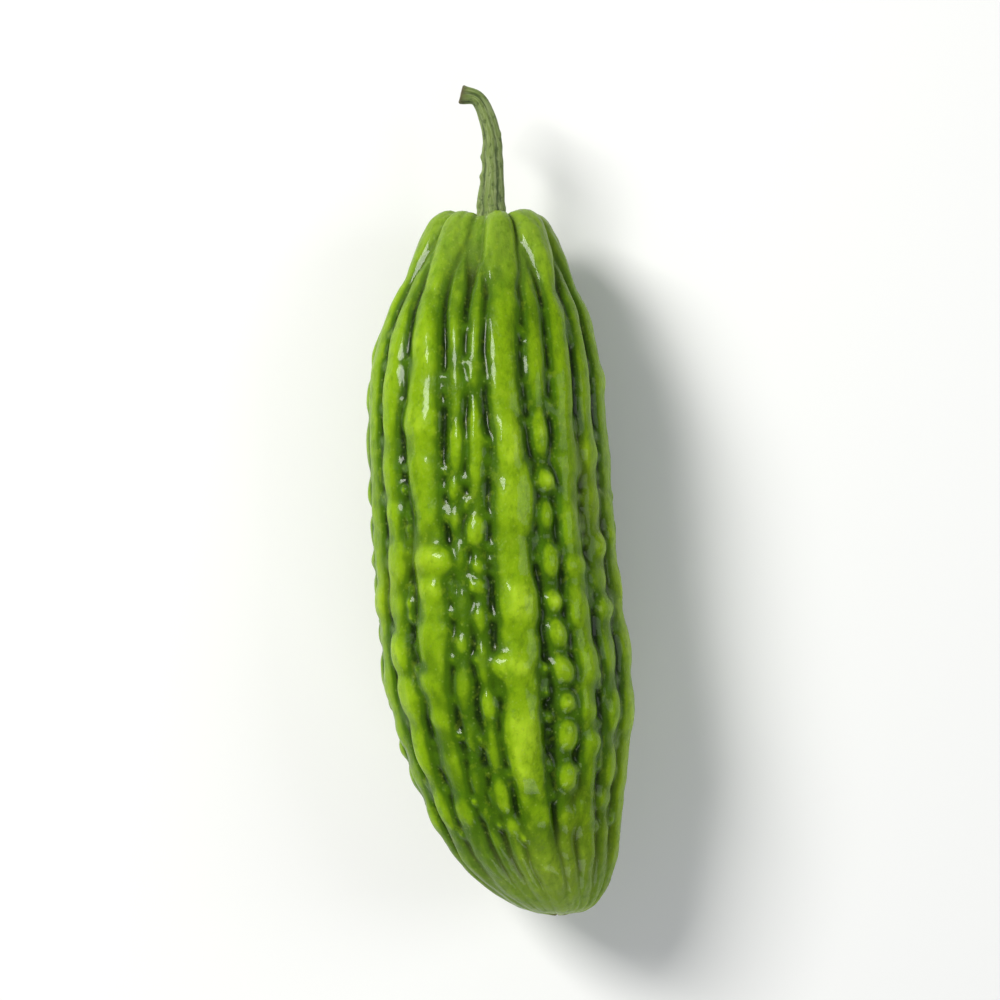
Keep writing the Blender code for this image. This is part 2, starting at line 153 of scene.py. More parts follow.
# share of the length, share of the fattest radius
fruitOutline = [
    (0.020, 0.00), (0.018, 0.09), (0.009, 0.22), (0.004, 0.36), (0.014, 0.44), (0.032, 0.49),
    (0.064, 0.58), (0.111, 0.70), (0.157, 0.82), (0.234, 0.92), (0.345, 0.965), (0.500, 0.98),
    (0.650, 1.00), (0.740, 0.93), (0.815, 0.825), (0.890, 0.70), (0.930, 0.60), (0.968, 0.46),
    (0.991, 0.28), (1.000, 0.00),
]

# share of the length, sideways bow towards +X as a share of the length
fruitBow = [(0.0, 0.0), (0.25, -0.008), (0.5, 0.006), (0.75, 0.032), (0.9, 0.056), (1.0, 0.094)]

# at: angle at five even stations from crown to tip; wide and tall: shares of the usual ridge;
# start and end: shares of the length; beads: 0 is a smooth ridge, 1 is a string of beads;
# lumps: share of the length, shift to the right, half length and half width in mm, and
# share of the ridge's height
ridges = [
    dict(
        at=(7, 9, 8, 5, 8), wide=1.12, tall=1.08, start=0.00, end=0.975, beads=0.30,
        lumps=[
            (0.410, 0.7, 9.6, 4.1, 1.00), (0.556, 0.3, 7.6, 4.2, 1.04), (0.640, -0.9, 3.6, 4.9, 1.10),
            (0.735, 0.2, 9.6, 4.0, 1.04),
        ],
    ),
    dict(
        at=(24, 26, 26, 25, 27), wide=0.70, tall=0.90, start=0.03, end=0.960, beads=0.75,
        lumps=[
            (0.315, 0.0, 5.6, 2.2, 0.95), (0.383, 0.3, 2.6, 2.4, 1.10), (0.430, 0.0, 3.6, 2.2, 0.95),
            (0.494, 0.2, 4.0, 2.4, 1.00), (0.550, 0.2, 2.5, 2.3, 1.08), (0.594, 0.1, 3.2, 2.4, 1.00),
            (0.646, 0.2, 3.1, 2.9, 1.08), (0.690, 0.4, 2.3, 2.1, 1.02), (0.735, 0.4, 3.7, 2.7, 1.08),
            (0.792, 0.3, 3.6, 2.4, 1.00),
        ],
    ),
    dict(at=(45, 41, 40, 40, 44), wide=0.78, tall=0.92, start=0.00, end=0.975, beads=0.35),
    dict(at=(62, 58, 57, 56, 58), wide=0.80, tall=0.90, start=0.04, end=0.960, beads=0.50),
    dict(at=(78, 76, 75, 75, 76), wide=0.95, tall=1.00, start=0.00, end=0.980, beads=0.25),
    dict(at=(95, 94, 93, 94, 95), wide=0.66, tall=0.86, start=0.05, end=0.94, beads=0.80),
    dict(at=(112, 112, 111, 112, 112), wide=1.00, tall=1.02, start=0.00, end=0.980, beads=0.20),
    dict(at=(129, 129, 130, 129, 129), wide=0.72, tall=0.88, start=0.05, end=0.94, beads=0.75),
    dict(at=(146, 147, 148, 147, 146), wide=0.74, tall=0.86, start=0.06, end=0.94, beads=0.85),
    dict(at=(166, 166, 166, 166, 166), wide=1.05, tall=1.05, start=0.00, end=0.980, beads=0.15),
    dict(at=(180, 180, 180, 180, 180), wide=0.60, tall=0.58, start=0.06, end=0.93, beads=0.80),
    dict(at=(194, 194, 194, 194, 194), wide=1.05, tall=1.05, start=0.00, end=0.980, beads=0.15),
    dict(at=(213, 213, 212, 213, 213), wide=0.74, tall=0.88, start=0.05, end=0.94, beads=0.80),
    dict(at=(231, 231, 231, 231, 231), wide=0.70, tall=0.86, start=0.06, end=0.94, beads=0.70),
    dict(at=(248, 249, 248, 249, 248), wide=1.00, tall=1.02, start=0.00, end=0.980, beads=0.20),
    dict(at=(266, 267, 266, 266, 266), wide=0.72, tall=0.88, start=0.05, end=0.94, beads=0.75),
    dict(at=(284, 286, 286, 285, 285), wide=0.90, tall=0.98, start=0.00, end=0.980, beads=0.35),
    dict(at=(300, 305, 303, 304, 303), wide=0.82, tall=0.95, start=0.03, end=0.975, beads=0.45),
    dict(at=(317, 326, 326, 325, 322), wide=1.10, tall=1.00, start=0.00, end=0.975, beads=0.40),
    dict(at=(336, 343, 342, 336, 334), wide=0.66, tall=0.84, start=0.05, end=0.94, beads=0.55),
    dict(
        at=(350, 353, 351, 348, 350), wide=0.60, tall=0.88, start=0.06, end=0.93, beads=0.60,
        lumps=[
            (0.338, 0.0, 9.0, 2.1, 0.95), (0.452, 0.0, 3.8, 2.3, 1.05), (0.503, 0.1, 2.0, 1.8, 0.92),
            (0.530, 0.1, 1.9, 1.9, 0.92), (0.575, 0.0, 3.4, 1.9, 0.90), (0.640, 0.0, 5.2, 2.0, 0.94),
        ],
    ),
]


def splineThrough(points, at):
    knots = np.array(points, float)
    knots = np.vstack([2 * knots[0] - knots[1], knots, 2 * knots[-1] - knots[-2]])
    place = np.clip(np.asarray(at, float), 0, 1) * (len(points) - 1)
    first = np.minimum(place.astype(int), len(points) - 2)
    t = (place - first)[:, None]
    a, b, c, d = (knots[first + k] for k in range(4))
    square, cube = 2 * a - 5 * b + 4 * c - d, 3 * b - a - 3 * c + d
    return 0.5 * (2 * b + (c - a) * t + square * t**2 + cube * t**3)


def evenSpline(points, count):
    dense = splineThrough(points, np.linspace(0, 1, knotSteps * len(points)))
    run = np.concatenate([[0], np.cumsum(np.linalg.norm(np.diff(dense, axis=0), axis=1))])
    even = np.linspace(0, run[-1], count)
    return np.stack([np.interp(even, run, dense[:, k]) for k in range(dense.shape[1])], axis=1), even


def easeBetween(low, high, value):
    t = np.clip((value - low) / (high - low), 0, 1)
    return t * t * (3 - 2 * t)


class Skin:
    # height of the skin over the valley floor, on a grid of rings along and points around
    def __init__(self, rings, around):
        length, radius = fruitShape["length"], fruitShape["radius"]
        outline = [(share * length, part * radius) for share, part in fruitOutline]
        places, self.run = evenSpline(outline, rings)
        self.depth = places[:, 0]
        self.radius = np.maximum(places[:, 1], 0)
        self.share = self.depth / length
        slope = np.gradient(places, self.run, axis=0)
        self.normal = np.stack([-slope[:, 1], slope[:, 0]], axis=1)
        self.normal /= np.linalg.norm(self.normal, axis=1)[:, None]
        self.normal[0] = (-1, 0)
        self.normal[-1] = (1, 0)
        self.angle = np.arange(around) * 2 * math.pi / around
        self.height = np.zeros((rings, around))
        self.layRidges()

    def layRidges(self):
        # each ridge's middle line, and how far it reaches to its left and right before the next one
        girth = np.maximum(self.radius, fruitShape["narrowest"])
        lines, weights = [], []
        for number, ridge in enumerate(ridges):
            rng = np.random.default_rng(fruitShape["wanderSeed"] + number)
            strays = rng.uniform(-1, 1, (fruitShape["wanderKnots"], 1))
            wander = splineThrough(strays, self.share)[:, 0] * fruitShape["wander"]
            angle = splineThrough([[a] for a in ridge["at"]], self.share)[:, 0]
            lines.append(np.radians(angle) + wander / np.maximum(girth, fruitShape["wanderGirth"]))
            grown = np.ones(len(girth))
            if ridge["start"] > 0:
                low, high = (ridge["start"] + part for part in fruitShape["lateStart"])
                grown = np.maximum(easeBetween(low, high, self.share), fruitShape["leastGrown"])
            weights.append(ridge["wide"] * grown)
        self.line = np.array(lines)
        weight = np.array(weights)
        gap = (np.roll(self.line, -1, 0) - self.line) % (2 * math.pi) * girth
        nextWeight = np.roll(weight, -1, 0)
        full = fruitShape["ridgeHalfWide"] * np.array([ridge["wide"] for ridge in ridges])[:, None]
        tall = fruitShape["ridgeTall"] * np.array([ridge["tall"] for ridge in ridges])[:, None]
        most = fruitShape["widest"] * fruitShape["ridgeHalfWide"] * weight
        self.right = np.minimum(gap * weight / (weight + nextWeight), most)
        self.left = np.minimum(np.roll(gap * nextWeight / (weight + nextWeight), 1, 0), most)
        self.free = gap - self.right - np.roll(self.left, -1, 0)
        fade = 1 - fruitShape["tipSink"] * easeBetween(*fruitShape["tipFade"], self.share)
        self.top = tall * np.clip(0.5 * (self.left + self.right) / full, 0, 1) * fade

    def runAt(self, share):
        # metres along the outline at a share of the length
        pole = fruitShape["poleRings"]
        return np.interp(share * fruitShape["length"], self.depth[pole:], self.run[pole:])

    def beside(self, line, rows):
        # metres to the right of a line, for every point of some rings
        girth = np.maximum(self.radius[rows], fruitShape["narrowest"])[:, None]
        turn = self.angle[None, :] - line[rows][:, None]
        return ((turn + math.pi) % (2 * math.pi) - math.pi) * girth

    def raiseDome(self, place, line, side, halfLong, left, right, tall, limit=None, power=None):
        power = power or fruitShape["roundness"]
        rows = np.flatnonzero(abs(self.run - place) < halfLong)
        if len(rows) == 0:
            return
        across = self.beside(line, rows) - side
        wide = np.where(across > 0, right[rows][:, None], left[rows][:, None])
        along = (self.run[rows] - place)[:, None] / halfLong
        fall = 1 - abs(across / wide) ** power - abs(along) ** power
        dome = tall * np.sqrt(np.clip(fall, 0, None))
        if limit is not None:
            dome = np.minimum(dome, limit[rows][:, None])
        self.height[rows] = np.maximum(self.height[rows], dome)

    def raiseRidge(self, number, rng):
        # a smooth core that fades where beads take over, then its lumps
        ridge, line = ridges[number], self.line[number]
        left, right, top = self.left[number], self.right[number], self.top[number]
        across = self.beside(line, np.arange(len(self.run)))
        overlap, least = fruitShape["overlap"], fruitShape["leastReach"]
        wide = np.maximum(np.where(across > 0, right[:, None], left[:, None]) * overlap, least)
        ceased = easeBetween(*fruitShape["beadsCease"], self.share)
        lively = easeBetween(*fruitShape["beadsBegin"], self.share) * (1 - ceased)
        sink = lumpShape["coreSink"] * (ridge["beads"] * lively) ** lumpShape["sinkPower"]
        core = top * (lumpShape["core"] - sink)
        profile = np.sqrt(np.clip(1 - abs(across / wide) ** fruitShape["roundness"], 0, None))
        self.height = np.maximum(self.height, core[:, None] * profile)
        first, last = self.runAt(ridge["start"]), self.runAt(ridge["end"])
        own = [self.runAt(lump[0]) for lump in ridge.get("lumps", [])] or [last, last]
        inset = lumpShape["inset"]
        place = first + inset
        while place < last - inset:
            smooth = 1 - np.interp(place, self.run, lively)
            stretch = 1 + lumpShape["smoothStretch"] * (1 - ridge["beads"])
            stretch += lumpShape["calmStretch"] * smooth
            middle = rng.uniform(*lumpShape["halfLong"]) * stretch
            centre = place + middle
            here = np.interp(centre, self.run, 0.5 * (left + right))
            tall = np.interp(centre, self.run, top)
            factor = overlap * rng.uniform(*lumpShape["width"])
            lump = dict(
                side=rng.uniform(-lumpShape["shift"], lumpShape["shift"]) * here * (1 - smooth),
                halfLong=(lumpShape["reach"] + lumpShape["calmReach"] * smooth) * middle,
                left=left * factor * rng.uniform(*lumpShape["skew"]) + least,
                right=right * factor * rng.uniform(*lumpShape["skew"]) + least,
                tall=tall * rng.uniform(*lumpShape["height"]),
                limit=lumpShape["highest"] * top,
            )
            if not own[0] - inset < centre < own[-1] + inset:
                self.raiseDome(centre, line, **lump)
            place += 2 * middle * rng.uniform(*lumpShape["step"])
        for share, side, halfLong, halfWide, tall in ridge.get("lumps", []):
            half = np.full(len(self.run), halfWide * mm)
            place = self.runAt(share)
            self.raiseDome(place, line, side * mm, halfLong * mm, half, half, tall * top.max())

    def raisePearls(self, number, rng):
        # small round beads that fill a valley wherever it is wide enough, and dot the creases
        aside = self.right[number] + self.free[number] / 2
        line = self.line[number] + aside / np.maximum(self.radius, pearlShape["leastRadius"])
        place = self.runAt(pearlShape["from"]) + rng.uniform(0, pearlShape["firstStep"]) * mm
        last = self.runAt(pearlShape["to"])
        biggest = fruitShape["pearlRadius"]
        while place < last:
            room = np.interp(place, self.run, self.free[number])
            size = pearlShape["creaseSize"] + pearlShape["sizeByRoom"] * room
            size = np.clip(size, pearlShape["smallest"] * biggest, biggest)
            size *= rng.uniform(*pearlShape["size"])
            isOpen = room > pearlShape["openValley"]
            chance = pearlShape["openChance"] if isOpen else pearlShape["creaseChance"]
            if rng.uniform() < chance:
                side = rng.uniform(-pearlShape["sideways"], pearlShape["sideways"])
                side *= max(room, pearlShape["leastRoom"])
                tall = fruitShape["ridgeTall"] * rng.uniform(*pearlShape["height"])
                half = np.full(len(self.run), size)
                long = size * rng.uniform(*pearlShape["length"])
                self.raiseDome(place, line, side, long, half, half, tall, power=pearlShape["roundness"])
            place += size * rng.uniform(*pearlShape["step"])

    def paintedReliefShading(self):
        # 1 on a crest, 0 in a crease: the height itself, and how it stands over the skin nearby; the
        #                              skin's colours use it to paint shade into the creases and light
        #                              onto the crests
        nearby = softened(self.height, *fruitShape["nearby"])
        over = np.clip(0.5 + (self.height - nearby) / fruitShape["reliefTall"], 0, 1)
        risen = self.height / fruitShape["ridgeTall"]
        midway = easeBetween(*fruitShape["paleCrown"], self.share)
        midway = (midway * (1 - easeBetween(*fruitShape["paleTip"], self.share)))[:, None]
        risen = risen * midway + fruitShape["paleLevel"] * (1 - midway)
        local = fruitShape["reliefShare"]
        return np.clip(local * over + (1 - local) * risen, 0, 1)

    def points(self):
        length = fruitShape["length"]
        radius = self.radius[:, None] + self.height * self.normal[:, 1:2]
        depth = self.depth[:, None] + self.height * self.normal[:, 0:1]
        bow = splineThrough(fruitBow, np.linspace(0, 1, fruitShape["bowSteps"]))
        side = np.interp(depth / length, bow[:, 0], bow[:, 1]) * length
        x = side + radius * np.sin(self.angle)[None, :]
        z = radius * np.cos(self.angle)[None, :]
        return np.stack([x, -depth, z], axis=2)


def softened(height, sideways, lengthwise):
    # rounds the foot of every dome, so that valleys are creases and not steps
    for _ in range(sideways):
        height = 0.25 * (np.roll(height, 1, 1) + np.roll(height, -1, 1)) + 0.5 * height
    for _ in range(lengthwise):
        padded = np.vstack([height[:1], height, height[-1:]])
        height = 0.25 * (padded[:-2] + padded[2:]) + 0.5 * height
    return height


def growSkin():
    skin = Skin(fruitShape["rings"], fruitShape["around"])
    for number in range(len(ridges)):
        skin.raiseRidge(number, np.random.default_rng(fruitShape["ridgeSeed"] + number))
    for number in range(len(ridges)):
        skin.raisePearls(number, np.random.default_rng(fruitShape["pearlSeed"] + number))
    inner = stemShape["footRadius"] + fruitShape["seatGap"]
    calm = easeBetween(inner, inner + fruitShape["calmRound"], skin.radius)
    calm[skin.share > 0.5] = 1  # only the crown is calm, not the tip
    skin.height *= calm[:, None]
    skin.height = softened(skin.height, *fruitShape["soften"])
    rng = np.random.default_rng(fruitShape["dimpleSeed"])
    for tall, sideways, lengthwise in fruitShape["dimples"]:
        dimples = softened(rng.normal(0, 1, skin.height.shape), sideways, lengthwise)
        fade = easeBetween(*fruitShape["dimpleCalm"], calm)[:, None]
        skin.height += tall / dimples.std() * dimples * fade
    return skin


def ringFaces(rings, around):
    faces = []
    for ring in range(rings - 1):
        for k in range(around):
            a = ring * around + k
            b = ring * around + (k + 1) % around
            faces.append((a, a + around, b + around, b))
    return faces


def addMesh(name, points, faces):
    mesh = bpy.data.meshes.new(name)
    mesh.from_pydata([tuple(p) for p in points], [], faces)
    shape = bmesh.new()
    shape.from_mesh(mesh)
    bmesh.ops.recalc_face_normals(shape, faces=shape.faces)
    shape.to_mesh(mesh)
    shape.free()
    mesh.shade_smooth()
    piece = bpy.data.objects.new(name, mesh)
    bpy.context.scene.collection.objects.link(piece)
    return piece


def addNumbers(piece, name, values):
    attribute = piece.data.attributes.new(name, "FLOAT", "POINT")
    attribute.data.foreach_set("value", np.asarray(values, np.float32))


def addVectors(piece, name, values):
    attribute = piece.data.attributes.new(name, "FLOAT_VECTOR", "POINT")
    attribute.data.foreach_set("vector", np.asarray(values, np.float32).ravel())


def layDown(points):
    turn = Euler((fruitShape["restTilt"], fruitShape["restRoll"], 0)).to_matrix()
    return np.asarray(points) @ np.array(turn).T


def fitToBox(points, low, high):
    lowest, highest = points.min(axis=0), points.max(axis=0)
    return np.array(low) + (points - lowest) / (highest - lowest) * (np.array(high) - np.array(low))


def makeFruit():
    skin = growSkin()
    rings = skin.points()
    inner = rings[1:-1].reshape(-1, 3)
    points = np.vstack([inner, rings[0].mean(axis=0), rings[-1].mean(axis=0)])
    around = fruitShape["around"]
    count = len(rings) - 2
    faces = ringFaces(count, around)
    last = (count - 1) * around
    for k in range(around):
        after = (k + 1) % around
        faces.append((len(inner), k, after))
        faces.append((len(inner) + 1, last + after, last + k))
    points = layDown(points)
    low = Vector((fruitLow.x, fruitLow.y, fruitLow.z - fruitShape["pressedFlat"]))
    points = fitToBox(points, low, fruitHigh)
    points[:, 2] = np.maximum(points[:, 2], 0)
    fruit = addMesh("gourdFruit", points, faces)
    # the relief mask, which paints shade into the creases and light onto the crests
    addNumbers(fruit, "paintedReliefShading", np.append(skin.paintedReliefShading()[1:-1].ravel(), [fruitShape["poleRelief"]] * 2))
    share = np.repeat(skin.share[1:-1], around)
    addNumbers(fruit, "fromCrown", np.append(share, [0, 1]))
    return fruit


stemShape = {
    "footRadius": 3.0 * mm,
    # share of the way from foot to cut, share of the foot's radius
    "taper": [
        (0, 1.0), (0.15, 0.95), (0.30, 0.82), (0.45, 0.70), (0.6, 0.63), (0.8, 0.55), (0.92, 0.51),
        (1, 0.60),
    ],
    # middle line from foot to cut: share of the hook, share of the rise, share of the lean
    "path": [
        (0.00, 0.00, 0.00), (0.00, 0.16, 0.00), (0.03, 0.38, 0.10), (0.06, 0.55, 0.28),
        (0.03, 0.70, 0.50), (-0.15, 0.85, 0.72), (-0.48, 0.97, 0.90), (-1.00, 1.00, 1.00),
    ],
    "hook": 5.4 * mm,  # how far the cut end bends over towards -X
    "lean": 1.6 * mm,
    "ribs": 5,
    "ribDepth": 0.13,  # share of the radius
    "ribPower": 0.75,
    "twist": math.radians(28),
    "flare": 0.62,  # how much the foot spreads over the crown
    # bud scars: share of the way up, angle round the stem, width in mm, height in mm
    "budScars": [
        (0.40, -75, 0.75, 0.42), (0.52, -100, 0.60, 0.32), (0.30, 20, 0.50, 0.25),
        (0.66, 60, 0.50, 0.20),
    ],
    "flareLength": 1.5 * mm,
    "flareRib": 0.55,  # share of the flare that only the ribs have
    "oval": 0.03,  # how far the stem is out of round
    "ovalTurn": 3,
    "waver": 0.10 * mm,
    "waverKnots": 14,
    "waverRise": 4,  # how fast it sets in above the foot
    "seed": 311,
    # the cut face, a rim and then a shallow dish: share of the end's radius, height in mm
    "cutFace": [(0.90, 0.20), (0.72, 0.22), (0.55, 0.10), (0.34, 0.0), (0.15, -0.05)],
    "cutRipple": 0.07 * mm,
    "grainTurns": 14,  # length of the stem in units of its radius, for the grain of its skin
    "footBelow": 1.4 * mm,  # how much shorter the middle line is, for the stem's own thickness
    "tipZone": 6 * mm,  # the part near the cut end that sets the stem's height over the floor
    "taperSteps": 100,
    "rings": 110,
    "around": 80,
}


def stemMiddle(count):
    hook, lean = stemShape["hook"], stemShape["lean"]
    rise = stemHigh.y - stemLow.y - stemShape["footBelow"]
    knots = [(side * hook, up * rise, over * lean) for side, up, over in stemShape["path"]]
    return evenSpline(knots, count)


def stemRadius(share):
    taper = splineThrough(stemShape["taper"], np.linspace(0, 1, stemShape["taperSteps"]))
    return stemShape["footRadius"] * np.interp(share, taper[:, 0], taper[:, 1])


def makeStem():
    middle, run = stemMiddle(stemShape["rings"])
    around = stemShape["around"]
    share = run / run[-1]
    forward = np.gradient(middle, axis=0)
    forward /= np.linalg.norm(forward, axis=1)[:, None]
    across = np.cross(forward, (0.0, 0.0, 1.0))
    across /= np.linalg.norm(across, axis=1)[:, None]
    over = np.cross(across, forward)
    angles = np.arange(around) * 2 * math.pi / around
    rng = np.random.default_rng(stemShape["seed"])
    wobble = splineThrough(rng.uniform(-1, 1, (stemShape["waverKnots"], 3)), share)
    points, rib, along, wrap = [], [], [], []
    for k in range(len(share)):
        turn = angles + stemShape["twist"] * share[k]
        crest = abs(np.cos(0.5 * stemShape["ribs"] * turn)) ** stemShape["ribPower"]
        radius = stemRadius(share[k]) * (1 - stemShape["ribDepth"] * (1 - crest))
        squeeze = np.sin(2 * angles + stemShape["ovalTurn"] * wobble[k, 0])
        radius = radius * (1 + stemShape["oval"] * squeeze)
        spread = math.exp(-run[k] / stemShape["flareLength"])
        ribbed = 1 - stemShape["flareRib"] + stemShape["flareRib"] * crest
        radius = radius * (1 + stemShape["flare"] * spread * ribbed)
        for height, angle, wide, tall in stemShape["budScars"]:
            away = (angles - math.radians(angle) + math.pi) % (2 * math.pi) - math.pi
            apart = (away * radius) ** 2 + (run[k] - height * run[-1]) ** 2
            radius = radius + tall * mm * np.exp(-apart / (wide * mm) ** 2)
        ring = np.sin(angles)[:, None] * across[k] + np.cos(angles)[:, None] * over[k]
        shift = stemShape["waver"] * wobble[k] * min(1, stemShape["waverRise"] * share[k])
        points += list(middle[k] + shift + radius[:, None] * ring)
        rib += list(crest)
        along += [share[k]] * around
        length = np.full(around, stemShape["grainTurns"] * share[k])
        wrap += list(np.stack([np.cos(turn), np.sin(turn), length], axis=1))
    rings = len(share)
    endRing = np.array(points[-around:])
    centre = endRing.mean(axis=0)
    outwards = forward[-1]
    for inwards, lift in stemShape["cutFace"]:
        raised = lift * mm + stemShape["cutRipple"] * rng.uniform(-1, 1, around)
        points += list(centre + inwards * (endRing - centre) + outwards * raised[:, None])
        rib += [inwards] * around
        along += [1.0 + (1 - inwards)] * around
        length = np.full(around, stemShape["grainTurns"] + 1.0)
        wrap += list(np.stack([np.cos(angles) * inwards, np.sin(angles) * inwards, length], axis=1))
        rings += 1
    faces = ringFaces(rings, around)
    faces.append(tuple(range(around)))
    faces.append(tuple(range((rings - 1) * around, rings * around)))
    points = layDown(points)
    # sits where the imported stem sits, by the box of its foot and of its cut end
    points[:, 0] += stemHigh.x - stemShape["footRadius"]
    points[:, 1] += stemHigh.y - points[:, 1].max()
    topZ = points[points[:, 1] > stemHigh.y - stemShape["tipZone"]][:, 2].max()
    points[:, 2] += stemHigh.z - topZ
    stem = addMesh("gourdStem", points, faces)
    addNumbers(stem, "rib", rib)
    addNumbers(stem, "alongStem", along)
    addVectors(stem, "wrap", wrap)
    return stem


def addNode(tree, kind, inputs=None, **settings):
    node = tree.nodes.new(kind)
    for name, value in settings.items():
        setattr(node, name, value)
    for name, value in (inputs or {}).items():
        if isinstance(value, bpy.types.NodeSocket):
            tree.links.new(value, node.inputs[name])
        else:
            node.inputs[name].default_value = value
    return node


def mixColours(tree, amount, first, second):
    node = addNode(tree, "ShaderNodeMix", data_type="RGBA")
    for socket, value in ((node.inputs[0], amount), (node.inputs[6], first), (node.inputs[7], second)):
        if isinstance(value, bpy.types.NodeSocket):
            tree.links.new(value, socket)
        else:
            socket.default_value = value
    return node.outputs[2]


def mapNumber(tree, value, fromLow, fromHigh, toLow, toHigh):
    node = addNode(tree, "ShaderNodeMapRange", interpolation_type="SMOOTHSTEP")
    tree.links.new(value, node.inputs["Value"])
    node.inputs["From Min"].default_value = fromLow
    node.inputs["From Max"].default_value = fromHigh
    node.inputs["To Min"].default_value = toLow
    node.inputs["To Max"].default_value = toHigh
    return node.outputs["Result"]


def tint(tree, colour, value, band, other):
    # lays another colour over the first where a number runs through a band
    return mixColours(tree, mapNumber(tree, value, *band), colour, other)


def stretchedNoise(tree, coordinates, scale, stretch, detail, roughness):
    mapping = addNode(tree, "ShaderNodeMapping", {"Vector": coordinates, "Scale": stretch})
    noise = addNode(
        tree, "ShaderNodeTexNoise",
        {"Vector": mapping.outputs["Vector"], "Scale": scale, "Detail": detail, "Roughness": roughness},
    )
    return noise.outputs["Fac"]


def addBump(tree, height, strength, distance, under=None):
    inputs = {"Height": height, "Strength": strength, "Distance": distance}
    if under is not None:
        inputs["Normal"] = under
    return addNode(tree, "ShaderNodeBump", inputs).outputs["Normal"]


def readAttribute(tree, name, output="Fac"):
    return addNode(tree, "ShaderNodeAttribute", attribute_name=name).outputs[output]


def newMaterial(name):
    material = bpy.data.materials.new(name)
    material.use_nodes = True
    return material, material.node_tree, material.node_tree.nodes["Principled BSDF"]


fruitFinish = {
    # colours from crease to crest: partly the skin's own darker and paler greens, partly painted shade
    # in the creases and painted light on the crests
    "valley": (0.007, 0.021, 0.0005, 1),
    "flank": (0.048, 0.118, 0.001, 1),
    "ridge": (0.190, 0.335, 0.003, 1),
    "crest": (0.370, 0.560, 0.020, 1),
    "warmSide": (0.420, 0.560, 0.010, 1),
    "coolPatch": (0.070, 0.195, 0.004, 1),
    "tip": (0.300, 0.420, 0.070, 1),
    "speck": (0.420, 0.550, 0.120, 1),
    "scar": (0.130, 0.085, 0.030, 1),  # dry spot where the blossom fell
    "rampStops": {"valley": 0.22, "flank": 0.52, "ridge": 0.77, "crest": 1.0},  # by relief
    # noises: scale, stretch, detail, roughness
    "broad": (34, (1, 0.55, 1), 2.0, 0.55),
    "patches": (52, (1.2, 0.6, 1.2), 2.0, 0.55),
    "mottle": (210, (1.1, 0.7, 1.1), 4.0, 0.6),
    "dapple": (620, (1, 0.8, 1), 3.0, 0.6),
    "gloss": (260, (1, 0.7, 1), 4.0, 0.55),
    "fine": (1300, (1, 0.7, 1), 4.0, 0.55),
    "lumpy": (360, (1, 0.65, 1), 3.0, 0.6),
    # bands: two values of the number, then the share of the colour laid on at each
    "warmBand": (0.48, 0.68, 0, 0.42),
    "coolBand": (0.54, 0.74, 0, 0.38),
    "tipBand": (0.84, 1.0, 0, 0.38),
    "crownBand": (0.16, 0.0, 0, 0.30),
    "mottleBand": (0.56, 0.72, 0, 0.30),
    "darkDapple": (0.50, 0.70, 0, 0.34),
    "paleDapple": (0.46, 0.30, 0, 0.34),
    "scarBand": (0.9965, 0.9995, 0, 0.85),
    "speckBand": (0.24, 0.10, 0, 0.11),
    "poreBand": (0.0, 0.22, 0, 1),
    "roughBand": (0.3, 0.7, 0.30, 0.46),  # the last two are the roughness
    "cells": 820.0,  # scale of the pores and specks
    # bumps: strength, depth
    "fineBump": (0.35, 0.15 * mm),
    "lumpyBump": (0.85, 0.60 * mm),
    "poreBump": (0.22, 0.10 * mm),
    "specular": 0.05,
    "coat": 0.24,
    "coatRoughness": 0.08,
    "glow": 0.10,  # share of the light that wanders under the skin
    "glowReach": (0.5, 1.0, 0.15),
    "glowDepth": 1.6 * mm,
}


